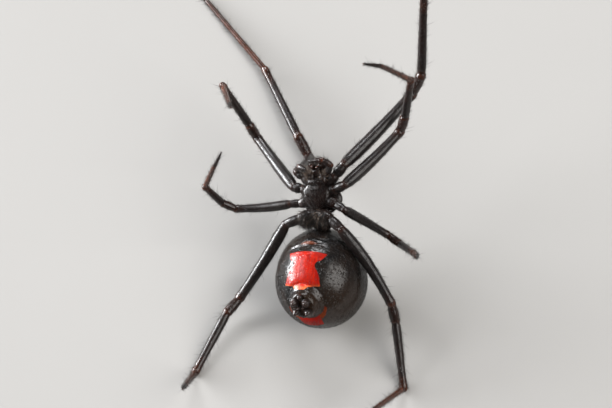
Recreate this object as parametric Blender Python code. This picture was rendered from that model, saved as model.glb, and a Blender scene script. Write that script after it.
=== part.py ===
"""A female black widow spider, life size, lying on her back with her belly up.

Named sizes are in millimetres and become metres when a mesh is made. There are three frames:
the body frame (X to the spider's left, Y to her head, Z out of her belly), the pose frame, which
is the body frame rolled about Y, and the world, where the pose frame leans on the floor at Z = 0.
"""

import math

import bmesh
import bpy
from mathutils import Matrix, Vector

MM = 0.001
GAP = 0.3

# How the animal lies
LEAN = math.radians(25)
BODY_ROLL = math.radians(-24)
REST_HEIGHT = 3.30

# Abdomen: an egg with its narrow end to the head, and the forms raised on it
ABDOMEN_CENTRE = Vector((0, 0.2, 0))
ABDOMEN_HALF_WIDTH = 3.3
ABDOMEN_HALF_LENGTH = 3.6
ABDOMEN_HALF_HEIGHT = 3.36
ABDOMEN_FRONT_TAPER = 0.05
ABDOMEN_SEGMENTS = 40
ABDOMEN_RINGS = 26
SPINNERET_ANGLE = math.radians(-29)
SPINNERET_MOUND = (0.28, math.radians(12), math.radians(26))
SPINNERET_DISC = ((0.0, 1.0), (0.12, 0.97), (0.22, 0.78))
SPINNERET_DISC_SIDES = 20
SPINNERET_SINK = 0.08
SPINNERET_SIDES = 8
EPIGYNE_ANGLE = math.radians(52)
EPIGYNE_MOUND = (0.10, math.radians(3), math.radians(11))

# Spinnerets and the tubercle behind them: distance from the midline, distance to the rear,
# radius, length, slant to the rear
SPINNERETS = (
    (0.43, 0.32, 0.36, 0.52, 0.2),
    (0.43, -0.36, 0.36, 0.52, -0.18),
    (0.16, -0.04, 0.2, 0.42, 0.0),
    (0.0, -0.76, 0.2, 0.28, -0.12),
    (0.0, 0.74, 0.26, 0.28, 0.12),
)
SPINNERET_SPLAY = 0.2
SPINNERET_SHAPE = ((0.0, 1.0), (0.7, 0.82), (1.0, 0.5))

# Hourglass: two triangles that meet on the belly's midline, as angles from the belly's normal
HOURGLASS_FRONT = math.radians(38)
HOURGLASS_WAIST = math.radians(19.5)
HOURGLASS_REAR = math.radians(-8)
HOURGLASS_FRONT_HALF = 1.4
HOURGLASS_WAIST_HALF = 0.8
HOURGLASS_REAR_HALF = 1.4

# Front body
CARAPACE_REAR = 4.6
CARAPACE_FRONT = 7.95
CARAPACE_HALF_WIDTH = 1.66
CARAPACE_HEAD_HALF_WIDTH = 0.86
CARAPACE_TOP = 1.0
CARAPACE_UNDERSIDE = 0.5
CARAPACE_CHEST_PLACE = 0.36
CARAPACE_CHEST_SPREAD = 0.3
CARAPACE_TOP_ARCH = 0.14
CARAPACE_RINGS = 15
CARAPACE_SIDES = 24
STERNUM_CENTRE = Vector((-0.06, 6.03, 0.77))
STERNUM_HALF = Vector((1.1, 1.05, 0.42))
STERNUM_TAPER = 0.42
LABIUM_CENTRE = Vector((0, 7.2, 0.86))
LABIUM_HALF = Vector((0.3, 0.36, 0.24))
MOUTH_CENTRE = Vector((0, 7.5, 0.5))
MOUTH_HALF = Vector((0.45, 0.36, 0.42))
MAXILLA_CENTRE = Vector((0.47, 7.33, 0.84))
MAXILLA_HALF = Vector((0.31, 0.47, 0.27))
MAXILLA_TURN = math.radians(18)
PEDICEL_RADIUS = 0.4
PEDICEL_HEIGHT = -0.18
PEDICEL_ENDS = 0.9
PEDICEL_WIDENING = 2.3
PEDICEL_SIDES = 16

# Coxae, each from the sternum's edge to its leg's hip: (start, hip, radius) on the left side
COXAE = {
    1: (Vector((0.55, 6.85, 0.35)), Vector((1.22, 7.5, 0.35)), 0.43),
    2: (Vector((0.6, 6.36, 0.4)), Vector((1.3, 6.58, 0.45)), 0.43),
    3: (Vector((0.6, 5.8, 0.45)), Vector((1.3, 5.55, 0.55)), 0.46),
    4: (Vector((0.22, 4.74, 0.9)), Vector((1.06, 4.52, 1.08)), 0.5),
}
# How a coxa's radius runs along it: (fraction of the length, share of the greatest radius)
COXA_SHAPE = ((0.0, 0.84), (0.5, 1.0), (1.0, 0.86))

# Eyes in two rows on the head's front: (x, y, z, radius) on the left side
EYES = (
    (0.14, 7.84, -0.52, 0.12),
    (0.16, 7.55, -0.86, 0.11),
    (0.46, 7.72, -0.42, 0.11),
    (0.5, 7.46, -0.66, 0.11),
)

# Jaws and feelers, in the body frame, left side first
CHELICERA_TOP = Vector((0.4, 8.22, 0.38))
CHELICERA_TIP = Vector((0.34, 8.26, 1.0))
CHELICERA_SHAPE = ((0.0, 0.9), (0.45, 1.0), (1.0, 0.72))
CHELICERA_RADIUS = 0.34
CHELICERA_SIDES = 12
FANG_TIP = Vector((0.1, 8.0, 1.28))
FANG_BEND = 0.16
FANG_RADII = (0.085, 0.07, 0.03)
FANG_SIDES = 6
PEDIPALPS = {
    "left": (
        Vector((0.98, 7.72, 1.06)),
        Vector((1.36, 8.28, 1.4)),
        Vector((0.81, 8.6, 1.75)),
        Vector((-0.18, 8.53, 1.8)),
    ),
    "right": (
        Vector((-1.05, 7.45, 1.15)),
        Vector((-1.28, 7.85, 1.35)),
        Vector((-0.86, 8.15, 1.86)),
        Vector((-0.28, 7.96, 2.2)),
    ),
}
# The feeler's rings: which stretch between its points, the share of that stretch, and the radius
PEDIPALP_RINGS = (
    (0, 0.0, 0.22), (0, 0.6, 0.26), (1, 0.12, 0.27), (1, 0.85, 0.28), (2, 0.5, 0.28), (2, 1.0, 0.2),
)

# Legs: lengths of femur, patella, tibia, metatarsus and tarsus, and the greatest radius of each
SEGMENT_LENGTHS = {
    1: (7.3, 1.8, 6.2, 7.4, 2.6),
    2: (5.6, 1.3, 3.8, 4.4, 1.8),
    3: (4.3, 1.15, 2.4, 3.0, 1.4),
    4: (6.45, 1.4, 4.85, 5.6, 2.0),
}
SEGMENT_RADII = {
    1: (0.48, 0.41, 0.34, 0.26, 0.25),
    2: (0.45, 0.38, 0.32, 0.26, 0.25),
    3: (0.37, 0.32, 0.29, 0.26, 0.25),
    4: (0.45, 0.39, 0.34, 0.26, 0.25),
}
FEMUR_BOW = 0.035
# The trochanter's rings as shares of the way from hip to femur and of the femur's radius
TROCHANTER_SHAPE = ((0.62, 0.95), (1.0, 0.88))
HIP_SIZE = 0.8
KNEE_SIZE = 0.88
ANKLE_SIZE = 0.9

# Where each femur starts in the pose frame, then the heading and rise in degrees of each segment
LEGS = {
    "leg_1_left": (
        Vector((1.6, 8.3, 1.0)),
        ((46, -14), (65, 37), (89, 22), (95, 48), (100, 58)),
    ),
    "leg_2_left": (
        Vector((1.65, 6.85, 1.4)),
        ((44, -10), (73, 36), (82, 48), (159, 58), (175, 47)),
    ),
    "leg_3_left": (
        Vector((1.6, 5.1, 1.45)),
        ((-30, -33), (-36, 14), (-34, 62), (-60, 86), (180, 84)),
    ),
    "leg_4_left": (
        Vector((1.4, 3.7, 1.95)),
        ((-56, -9), (-76, -20), (-83, -4), (-151, 62), (-139, 54)),
    ),
    "leg_1_right": (
        Vector((-1.7, 7.8, -0.25)),
        ((53, -79), (118, -4), (116, -26), (130, -23), (132, -21)),
    ),
    "leg_2_right": (
        Vector((-1.98, 6.7, -0.35)),
        ((126.4, -36.8), (122, 35), (124, 28), (-68, 70), (-67, 79)),
    ),
    "leg_3_right": (
        Vector((-2.2, 5.5, -0.2)),
        ((-175, -23), (157, 20), (136, 47), (63, 58), (62, 39)),
    ),
    "leg_4_right": (
        Vector((-2.55, 4.05, 0.05)),
        ((-122, -13), (-131, 9), (-118, 10), (-130, 82), (-128, 84)),
    ),
}

# How a segment's radius runs along it: (fraction of the length, share of the greatest radius)
FEMUR_SHAPE = ((0.07, 0.92), (0.2, 1.0), (0.4, 0.97), (0.62, 0.88), (0.82, 0.8), (0.93, 0.8), (1.0, 0.86))
PATELLA_SHAPE = ((0.62, 1.0), (0.86, 0.95))
TIBIA_SHAPE = ((0.0, 0.98), (0.12, 1.0), (0.4, 0.96), (0.7, 0.88), (0.9, 0.86), (1.0, 0.94))
METATARSUS_SHAPE = ((0.3, 1.0), (0.6, 0.96), (0.94, 0.94))
TARSUS_SHAPE = ((0.0, 0.98), (0.35, 0.9), (0.75, 0.62), (1.0, 0.42))

LEG_SIDES = 10
FOOT_SIDES = 8
STERNUM_GRID = (20, 12)
LOBE_GRID = (12, 8)
EYE_GRID = (8, 6)
BLUNT_RINGS = 2
DOME_TURNS = (math.radians(28), math.radians(54), math.radians(76))
SHARP_ANGLE = math.radians(40)


def heading(degrees, rise):
    """The unit direction of a heading in the plane of X and Y and a rise out of it."""
    turn = math.radians(degrees)
    lift = math.radians(rise)
    return Vector((math.cos(lift) * math.cos(turn), math.cos(lift) * math.sin(turn), math.sin(lift)))


def rolled(point):
    """A point of the body frame in the pose frame."""
    return Matrix.Rotation(BODY_ROLL, 3, "Y") @ point


def rolled_back(point):
    """A point of the pose frame in the body frame."""
    return Matrix.Rotation(-BODY_ROLL, 3, "Y") @ point


def mirrored(point):
    """A point of the left side on the right side."""
    return Vector((-point.x, point.y, point.z))


def make_material(name, colour, roughness, coat=0.0):
    """A Principled material with the given colour, roughness and clear coat."""
    material = bpy.data.materials.new(name)
    material.use_nodes = True
    shader = material.node_tree.nodes["Principled BSDF"]
    shader.inputs["Base Color"].default_value = (*colour, 1.0)
    shader.inputs["Roughness"].default_value = roughness
    shader.inputs["Metallic"].default_value = 0.0
    shader.inputs["Coat Weight"].default_value = coat
    return material


def object_from_bmesh(name, shape, materials, parent):
    """A smooth-shaded object in metres, from a shape in millimetres."""
    bmesh.ops.recalc_face_normals(shape, faces=shape.faces)
    bmesh.ops.scale(shape, vec=Vector((MM, MM, MM)), verts=shape.verts)
    mesh = bpy.data.meshes.new(name)
    shape.to_mesh(mesh)
    shape.free()
    for material in materials:
        mesh.materials.append(material)
    mesh.shade_smooth()
    mesh.set_sharp_from_angle(angle=SHARP_ANGLE)
    thing = bpy.data.objects.new(name, mesh)
    bpy.context.scene.collection.objects.link(thing)
    thing.parent = parent
    return thing


def rest_on_floor(shape):
    """Cuts a shape in the pose frame flat where it would reach below the floor."""
    normal = Vector((0, math.sin(LEAN), math.cos(LEAN)))
    everything = shape.verts[:] + shape.edges[:] + shape.faces[:]
    bmesh.ops.bisect_plane(shape, geom=everything, plane_co=-REST_HEIGHT * normal, plane_no=normal,
                           clear_inner=True)
    rim = [edge for edge in shape.edges if edge.is_boundary]
    if rim:
        bmesh.ops.holes_fill(shape, edges=rim, sides=0)


def dome(centre, radius, outward):
    """Ring centres and radii that close a tube with a rounded end."""
    return [(centre + outward * radius * math.sin(turn), radius * math.cos(turn)) for turn in DOME_TURNS]


def ring_tangents(centres, first, last):
    """The way each ring faces: the mean of the stretches before and after it."""
    tangents = []
    for index in range(len(centres)):
        before = centres[index] - centres[max(index - 1, 0)]
        after = centres[min(index + 1, len(centres) - 1)] - centres[index]
        tangents.append((before.normalized() + after.normalized()).normalized())
    if first is not None:
        tangents[0] = first
    if last is not None:
        tangents[-1] = last
    return tangents


def tube(shape, rings, sides, first=None, last=None):
    """Adds a closed tube through rings, each a centre and a radius, to a shape."""
    centres = [centre for centre, radius in rings]
    tangents = ring_tangents(centres, first, last)
    across = tangents[0].orthogonal().normalized()
    loops = []
    for (centre, radius), tangent in zip(rings, tangents):
        across = (across - across.dot(tangent) * tangent).normalized()
        beside = tangent.cross(across)
        loop = []
        for side in range(sides):
            turn = 2 * math.pi * side / sides
            offset = across * math.cos(turn) + beside * math.sin(turn)
            loop.append(shape.verts.new(centre + offset * radius))
        loops.append(loop)
    for lower, upper in zip(loops, loops[1:]):
        for side in range(sides):
            after = (side + 1) % sides
            shape.faces.new((lower[side], lower[after], upper[after], upper[side]))
    shape.faces.new(loops[0][::-1])
    shape.faces.new(loops[-1])


def along(start, way, length, radius, profile):
    """Rings of a straight segment, from its greatest radius and its profile."""
    return [(start + way * length * share, radius * size) for share, size in profile]


def ovoid(shape, centre, half, grid, turn=0.0):
    """Adds a closed ellipsoid, turned about Z, to a shape; the grid is its segments and rings."""
    place = Matrix.Translation(centre) @ Matrix.Rotation(turn, 4, "Z") @ Matrix.Diagonal((*half, 1.0))
    bmesh.ops.create_uvsphere(shape, u_segments=grid[0], v_segments=grid[1], radius=1.0, matrix=place)


def keep_largest(mesh):
    """Leaves only the largest closed surface of a mesh."""
    shape = bmesh.new()
    shape.from_mesh(mesh)
    unseen = set(shape.faces)
    islands = []
    while unseen:
        island = set()
        front = [unseen.pop()]
        while front:
            face = front.pop()
            island.add(face)
            near = {other for edge in face.edges for other in edge.link_faces if other in unseen}
            unseen -= near
            front.extend(near)
        islands.append(island)
    islands.sort(key=lambda island: sum(face.calc_area() for face in island))
    scraps = [face for island in islands[:-1] for face in island]
    bmesh.ops.delete(shape, geom=scraps, context="FACES")
    shape.to_mesh(mesh)
    shape.free()


def fuse(body, pieces):
    """Joins closed pieces to a body with one Boolean union and removes them."""
    group = bpy.data.collections.new(body.name + "_pieces")
    bpy.context.scene.collection.children.link(group)
    for piece in pieces:
        bpy.context.scene.collection.objects.unlink(piece)
        group.objects.link(piece)
    union = body.modifiers.new("union", "BOOLEAN")
    union.operation = "UNION"
    union.operand_type = "COLLECTION"
    union.collection = group
    union.solver = "EXACT"
    bpy.context.view_layer.objects.active = body
    bpy.ops.object.modifier_apply(modifier=union.name)
    for piece in pieces:
        bpy.data.objects.remove(piece)
    bpy.data.collections.remove(group)
    keep_largest(body.data)
    body.data.shade_smooth()
    body.data.set_sharp_from_angle(angle=SHARP_ANGLE)


def smooth_bump(angle, height, full, reach):
    """A rise of the given height that is full near an axis and gone past its reach."""
    share = min(max((reach - angle) / (reach - full), 0.0), 1.0)
    return height * share * share * (3 - 2 * share)


def belly_direction(angle):
    """The direction on the belly's midline at an angle from its normal, head end first."""
    return Vector((0, math.sin(angle), math.cos(angle)))


def abdomen_point(direction):
    """The point of the abdomen's surface in a direction of the body frame."""
    width = ABDOMEN_HALF_WIDTH * (1 - ABDOMEN_FRONT_TAPER * direction.y)
    height = ABDOMEN_HALF_HEIGHT * (1 - ABDOMEN_FRONT_TAPER * direction.y)
    spread = math.sqrt((direction.x / width) ** 2 + (direction.y / ABDOMEN_HALF_LENGTH) ** 2
                       + (direction.z / height) ** 2)
    reach = 1 / spread
    reach += smooth_bump(direction.angle(belly_direction(SPINNERET_ANGLE)), *SPINNERET_MOUND)
    reach += smooth_bump(direction.angle(belly_direction(EPIGYNE_ANGLE)), *EPIGYNE_MOUND)
    return ABDOMEN_CENTRE + direction * reach


def on_hourglass(point):
    """Whether a point of the abdomen in the body frame lies in the red mark."""
    offset = point - ABDOMEN_CENTRE
    angle = math.atan2(offset.y, offset.z)
    if offset.z < 0 or not HOURGLASS_REAR < angle < HOURGLASS_FRONT:
        return False
    if angle > HOURGLASS_WAIST:
        share = (angle - HOURGLASS_WAIST) / (HOURGLASS_FRONT - HOURGLASS_WAIST)
        half = HOURGLASS_WAIST_HALF + share * (HOURGLASS_FRONT_HALF - HOURGLASS_WAIST_HALF)
    else:
        share = (HOURGLASS_WAIST - angle) / (HOURGLASS_WAIST - HOURGLASS_REAR)
        half = HOURGLASS_WAIST_HALF + share * (HOURGLASS_REAR_HALF - HOURGLASS_WAIST_HALF)
    return abs(offset.x) < half


def make_abdomen(materials, parent):
    """The round hind body, with a red hourglass on the belly."""
    shape = bmesh.new()
    upright = Matrix.Rotation(math.radians(-90), 4, "X")
    bmesh.ops.create_uvsphere(shape, u_segments=ABDOMEN_SEGMENTS, v_segments=ABDOMEN_RINGS, radius=1.0,
                              matrix=upright)
    for vertex in shape.verts:
        vertex.co = abdomen_point(vertex.co.normalized())
    for face in shape.faces:
        face.material_index = 1 if on_hourglass(face.calc_center_median()) else 0
    for vertex in shape.verts:
        vertex.co = rolled(vertex.co)
    rest_on_floor(shape)
    return object_from_bmesh("abdomen", shape, materials, parent)


def make_spinnerets(material, parent):
    """The low disc of the spinning field with its six spinnerets and the anal tubercle."""
    axis = belly_direction(SPINNERET_ANGLE)
    rearward = Vector((0, axis.z, -axis.y))
    foot = abdomen_point(axis) + axis * GAP
    disc = bmesh.new()
    tube(disc, [(foot + axis * rise, radius) for rise, radius in SPINNERET_DISC], SPINNERET_DISC_SIDES)
    body = object_from_bmesh("spinnerets", disc, [material], parent)
    pieces = []
    for across, back, radius, length, slant in SPINNERETS:
        for side in ((-1, 1) if across else (1,)):
            base = foot + axis * SPINNERET_SINK + Vector((side * across, 0, 0)) + rearward * back
            splay = Vector((side * across * SPINNERET_SPLAY, 0, 0))
            lean = (axis + rearward * slant + splay).normalized()
            cone = bmesh.new()
            tube(cone, along(base, lean, length, radius, SPINNERET_SHAPE), SPINNERET_SIDES)
            pieces.append(object_from_bmesh("spinneret", cone, [material], parent))
    fuse(body, pieces)
    for vertex in body.data.vertices:
        vertex.co = rolled(vertex.co)
    return body


def carapace_rings():
    """Cross sections of the head and back shield: place along Y, half width, top and underside."""
    rings = []
    widening = CARAPACE_HALF_WIDTH - CARAPACE_HEAD_HALF_WIDTH
    for index in range(CARAPACE_RINGS):
        share = (1 - math.cos(math.pi * (index + 0.5) / CARAPACE_RINGS)) / 2
        place = CARAPACE_REAR + share * (CARAPACE_FRONT - CARAPACE_REAR)
        ends = math.sqrt(max(1 - (2 * share - 1) ** 4, 0.0))
        chest = math.exp(-(((share - CARAPACE_CHEST_PLACE) / CARAPACE_CHEST_SPREAD) ** 2))
        half = ends * (CARAPACE_HEAD_HALF_WIDTH + widening * chest)
        arch = 1 - CARAPACE_TOP_ARCH * (1 - math.sin(math.pi * share))
        top = ends * CARAPACE_TOP * arch
        low = ends * CARAPACE_UNDERSIDE
        rings.append((place, half, top, low))
    return rings


def make_carapace(materials, parent):
    """The shield over the front body, pear shaped from above."""
    shape = bmesh.new()
    loops = []
    for place, half, top, low in carapace_rings():
        loop = []
        for side in range(CARAPACE_SIDES):
            turn = 2 * math.pi * side / CARAPACE_SIDES
            depth = top if math.sin(turn) > 0 else low
            loop.append(shape.verts.new((half * math.cos(turn), place, -depth * math.sin(turn))))
        loops.append(loop)
    for lower, upper in zip(loops, loops[1:]):
        for side in range(CARAPACE_SIDES):
            after = (side + 1) % CARAPACE_SIDES
            shape.faces.new((lower[side], lower[after], upper[after], upper[side]))
    shape.faces.new(loops[0])
    shape.faces.new(loops[-1])
    return object_from_bmesh("prosoma", shape, materials, parent)


def make_prosoma(materials, parent):
    """The front body: shield, breastplate, lip, mouth, palp bases, the eight leg bases and the eyes."""
    body = make_carapace(materials, parent)
    pieces = []

    def add(shape, name):
        pieces.append(object_from_bmesh(name, shape, materials, parent))

    sternum = bmesh.new()
    ovoid(sternum, STERNUM_CENTRE, STERNUM_HALF, STERNUM_GRID)
    for vertex in sternum.verts:
        behind = max(STERNUM_CENTRE.y - vertex.co.y, 0.0) / STERNUM_HALF.y
        vertex.co.x *= 1 - STERNUM_TAPER * behind
    add(sternum, "sternum")
    for name, centre, half in (("labium", LABIUM_CENTRE, LABIUM_HALF), ("mouth", MOUTH_CENTRE, MOUTH_HALF)):
        lobe = bmesh.new()
        ovoid(lobe, centre, half, LOBE_GRID)
        add(lobe, name)
    for side, flip in ((1, lambda point: point), (-1, mirrored)):
        maxilla = bmesh.new()
        ovoid(maxilla, flip(MAXILLA_CENTRE), MAXILLA_HALF, LOBE_GRID, side * MAXILLA_TURN)
        add(maxilla, "maxilla")
        for pair, (start, hip, radius) in COXAE.items():
            name = f"leg_{pair}_{'left' if side > 0 else 'right'}"
            root = rolled_back(LEGS[name][0])
            start, hip = flip(start), flip(hip)
            way = hip - start
            rings = along(start, way.normalized(), way.length, radius, COXA_SHAPE)
            coxa = bmesh.new()
            tube(coxa, rings, LEG_SIDES, last=(root - hip).normalized())
            add(coxa, "coxa")
        for x, y, z, radius in EYES:
            eye = bmesh.new()
            ovoid(eye, Vector((side * x, y, z)), Vector((radius,) * 3), EYE_GRID)
            add(eye, "eye")
    fuse(body, pieces)
    for vertex in body.data.vertices:
        vertex.co = rolled(vertex.co)
    return body


def make_pedicel(materials, parent):
    """The short, wide waist between the front body and the abdomen."""
    front = Vector((0, CARAPACE_REAR - GAP, PEDICEL_HEIGHT))
    rear = Vector((0, ABDOMEN_CENTRE.y + ABDOMEN_HALF_LENGTH + GAP, PEDICEL_HEIGHT))
    narrow = PEDICEL_RADIUS * PEDICEL_ENDS
    shape = bmesh.new()
    tube(shape, [(rear, narrow), (front.lerp(rear, 0.5), PEDICEL_RADIUS), (front, narrow)], PEDICEL_SIDES)
    for vertex in shape.verts:
        vertex.co.x *= PEDICEL_WIDENING
        vertex.co = rolled(vertex.co)
    return object_from_bmesh("pedicel", shape, materials, parent)


def make_chelicera(side, flip, materials, parent):
    """One jaw with its fang folded in below the mouth."""
    top, tip, fang_tip = flip(CHELICERA_TOP), flip(CHELICERA_TIP), flip(FANG_TIP)
    way = tip - top
    down = way.normalized()
    shape = bmesh.new()
    rings = along(top, down, way.length, CHELICERA_RADIUS, CHELICERA_SHAPE)
    tube(shape, rings + dome(tip, rings[-1][1], down), CHELICERA_SIDES)
    body = object_from_bmesh("chelicera_" + side, shape, materials, parent)
    fang = bmesh.new()
    bend = tip.lerp(fang_tip, 0.5) + down * FANG_BEND
    tube(fang, list(zip((tip, bend, fang_tip), FANG_RADII)), FANG_SIDES)
    fuse(body, [object_from_bmesh("fang", fang, materials, parent)])
    for vertex in body.data.vertices:
        vertex.co = rolled(vertex.co)
    return body


def make_pedipalp(side, materials, parent):
    """One feeler beside the jaws: three stretches that narrow to a blunt tip."""
    points = [rolled(point) for point in PEDIPALPS[side]]
    rings = [(points[stretch].lerp(points[stretch + 1], share), radius)
             for stretch, share, radius in PEDIPALP_RINGS]
    end, radius = rings[-1]
    shape = bmesh.new()
    tube(shape, rings + dome(end, radius, (points[-1] - points[-2]).normalized())[:BLUNT_RINGS], LEG_SIDES)
    return object_from_bmesh("pedipalp_" + side, shape, materials, parent)


def bowed(rings, start, way, length, outward):
    """The same rings, arched outward in the middle of the segment."""
    arched = []
    for centre, radius in rings:
        share = (centre - start).dot(way) / length
        arched.append((centre + outward * FEMUR_BOW * length * math.sin(math.pi * share), radius))
    return arched


def make_leg(name, materials, parent):
    """One leg in three nodes: upper to the knee, middle to the ankle, and foot."""
    pair = int(name.split("_")[1])
    root, turns = LEGS[name]
    lengths = SEGMENT_LENGTHS[pair]
    radii = SEGMENT_RADII[pair]
    ways = [heading(*turn) for turn in turns]
    joints = [root]
    for way, length in zip(ways, lengths):
        joints.append(joints[-1] + way * length)

    side_hip = COXAE[pair][1] if name.endswith("left") else mirrored(COXAE[pair][1])
    hip = rolled(side_hip)
    out = (root - hip).normalized()
    outward = (ways[0] - ways[1]).normalized()
    outward = (outward - outward.dot(ways[0]) * ways[0]).normalized()
    straight = along(root, ways[0], lengths[0], radii[0], FEMUR_SHAPE)
    femur = bowed(straight, root, ways[0], lengths[0], outward)
    knee_radius = radii[0] * FEMUR_SHAPE[-1][1]
    trochanter = along(hip, out, (root - hip).length, radii[0], TROCHANTER_SHAPE)
    rings = [(hip + out * GAP, radii[0] * HIP_SIZE)] + trochanter + femur
    upper = bmesh.new()
    tube(upper, rings + dome(joints[1], knee_radius, ways[0]), LEG_SIDES, first=out)
    rest_on_floor(upper)
    object_from_bmesh(name + "_upper", upper, materials, parent)

    ankle_radius = radii[2] * TIBIA_SHAPE[-1][1]
    rings = [(joints[1] + ways[1] * (knee_radius + GAP), radii[1] * KNEE_SIZE)]
    rings += along(joints[1], ways[1], lengths[1], radii[1], PATELLA_SHAPE)
    rings += along(joints[2], ways[2], lengths[2], radii[2], TIBIA_SHAPE)
    middle = bmesh.new()
    tube(middle, rings + dome(joints[3], ankle_radius, ways[2]), LEG_SIDES, first=ways[1])
    rest_on_floor(middle)
    object_from_bmesh(name + "_middle", middle, materials, parent)

    rings = [(joints[3] + ways[3] * (ankle_radius + GAP), radii[3] * ANKLE_SIZE)]
    rings += along(joints[3], ways[3], lengths[3], radii[3], METATARSUS_SHAPE)
    rings += along(joints[4], ways[4], lengths[4], radii[4], TARSUS_SHAPE)
    foot = bmesh.new()
    tip_radius = radii[4] * TARSUS_SHAPE[-1][1]
    tube(foot, rings + dome(joints[5], tip_radius, ways[4])[:BLUNT_RINGS], FOOT_SIDES, first=ways[3])
    rest_on_floor(foot)
    object_from_bmesh(name + "_foot", foot, materials, parent)


def main():
    for thing in list(bpy.data.objects):
        bpy.data.objects.remove(thing)

    pose = bpy.data.objects.new("pose", None)
    bpy.context.scene.collection.objects.link(pose)
    pose.rotation_euler = (LEAN, 0, 0)
    pose.location = (0, 0, REST_HEIGHT * MM)

    shell = make_material("black_shell", (0.012, 0.009, 0.009), 0.18, 0.6)
    red = make_material("hourglass_red", (0.62, 0.02, 0.008), 0.3, 0.4)
    chest = make_material("dark_chest", (0.02, 0.013, 0.011), 0.3, 0.3)
    joint_brown = make_material("joint_brown", (0.035, 0.012, 0.008), 0.25, 0.4)
    leg_black = make_material("leg_black", (0.014, 0.009, 0.009), 0.2, 0.5)

    make_abdomen([shell, red], pose)
    make_spinnerets(joint_brown, pose)
    make_prosoma([chest], pose)
    make_pedicel([chest], pose)
    for side, flip in (("left", lambda point: point), ("right", mirrored)):
        make_chelicera(side, flip, [joint_brown], pose)
        make_pedipalp(side, [joint_brown], pose)
    for name in LEGS:
        make_leg(name, [leg_black], pose)


main()
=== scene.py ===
"""The black widow's finish: skin, markings, bristles, eyes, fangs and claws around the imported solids.

Sizes are in millimetres and become metres when a mesh is made. The body frame has X to the
spider's left, Y to her head and Z out of her belly. The pose frame is the body frame rolled about
Y, and the world has the pose frame leaning on the floor.
"""

import math

import bpy
import numpy as np
from mathutils import Matrix, Vector, noise

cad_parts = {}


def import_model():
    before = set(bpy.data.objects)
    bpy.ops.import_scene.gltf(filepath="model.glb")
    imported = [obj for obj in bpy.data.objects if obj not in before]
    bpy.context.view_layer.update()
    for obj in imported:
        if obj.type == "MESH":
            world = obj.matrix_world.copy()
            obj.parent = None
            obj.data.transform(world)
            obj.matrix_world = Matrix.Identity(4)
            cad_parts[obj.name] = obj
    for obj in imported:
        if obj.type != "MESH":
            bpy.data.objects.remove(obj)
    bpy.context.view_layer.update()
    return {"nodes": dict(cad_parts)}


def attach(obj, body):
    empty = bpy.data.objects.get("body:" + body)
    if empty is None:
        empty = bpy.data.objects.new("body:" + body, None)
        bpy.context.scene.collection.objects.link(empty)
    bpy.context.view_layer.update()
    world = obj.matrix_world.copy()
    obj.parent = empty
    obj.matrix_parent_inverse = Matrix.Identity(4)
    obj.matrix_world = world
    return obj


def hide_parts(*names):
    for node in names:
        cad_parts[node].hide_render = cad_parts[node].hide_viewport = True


MM = 0.001
IMAGE_WIDTH = 612

# How the animal lies, as in the solids
LEAN = math.radians(25)
BODY_ROLL = math.radians(-24)
REST_HEIGHT = 3.30
POSE = Matrix.Translation((0, 0, REST_HEIGHT)) @ Matrix.Rotation(LEAN, 4, "X")
BODY = POSE @ Matrix.Rotation(BODY_ROLL, 4, "Y")

# The view: where the camera looks in the pose frame, its distance and the photograph's scale
LOOK_AT = Vector((-1.107, 5.5, 0))
CAMERA_DISTANCE = 250.0
PIXELS_PER_MM = 14.0
SENSOR_MM = 36.0

# Places of the abdomen's and the front body's material in the skin's list
ABDOMEN = 1
FRONT = 2

# How far the skin lies inside the solids
COAT_DEPTH = 0.05
FLOOR_CLEARANCE = 0.004

# Abdomen
ABDOMEN_CENTRE = Vector((0, 0.2, 0))
ABDOMEN_HALF = (3.3, 3.6, 3.36)
ABDOMEN_FRONT_TAPER = 0.05
ABDOMEN_SEGMENTS = 264
ABDOMEN_RINGS = 176
SPINNERET_ANGLE = math.radians(-29)
SPINNERET_MOUND = (0.28, math.radians(12), math.radians(26))
SPINNERET_FIELD = (0.34, math.radians(12), math.radians(18))
SPINNERET_ROOT = 0.12
# Spinnerets, colulus and tubercle: distance from the midline, to the rear, radius, length, slant
SPINNERETS = (
    (0.43, 0.32, 0.33, 0.42, 0.2),
    (0.43, -0.36, 0.31, 0.4, -0.18),
    (0.16, -0.04, 0.17, 0.3, 0.0),
    (0.0, -0.76, 0.17, 0.14, -0.12),
    (0.0, 0.74, 0.23, 0.2, 0.12),
)
SPINNERET_SPLAY = 0.2
SPINNERET_SHAPE = ((0.0, 0.95), (0.5, 0.96), (0.56, 0.8), (0.8, 0.7), (1.0, 0.48))
SPINNERET_TINT = ((0.0, 0.0), (0.5, 0.06), (1.0, 0.16))
EPIGYNE_ANGLE = math.radians(52)
EPIGYNE_MOUND = (0.10, math.radians(3), math.radians(11))

# Creases of the belly as (angle from the belly's normal, depth, width along, half length across)
FURROWS = (
    (math.radians(45.5), 0.075, 0.028, 1.5),
    (math.radians(50.0), 0.05, 0.018, 0.55),
    (math.radians(41.5), 0.025, 0.03, 2.0),
    (math.radians(57.5), 0.04, 0.03, 0.9),
)
MOUND_CREASES = ((math.radians(23.5), 0.07, 0.035), (math.radians(17), 0.03, 0.03))
# Muscle pits on the back as (distance from the midline, place along Y, depth, radius)
MUSCLE_PITS = ((0.75, 1.6, 0.06, 0.16), (0.95, 0.3, 0.08, 0.2), (0.8, -0.9, 0.05, 0.14))

# Red marks: hourglass half width by angle, and the crescent behind the spinnerets
HOURGLASS_FRONT = math.radians(36.5)
HOURGLASS_REAR = math.radians(-9.5)
HOURGLASS_OUTLINE = (
    (-9.5, 1.39), (0.6, 1.27), (8.8, 1.12), (14.0, 0.93), (18.0, 0.82), (21.0, 0.84),
    (26.2, 1.2), (33.6, 1.4), (36.5, 1.43),
)
# The mark's midline at its rear and how far it drifts to the spider's left by its front
HOURGLASS_SLANT = (-0.14, 0.21)
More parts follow.
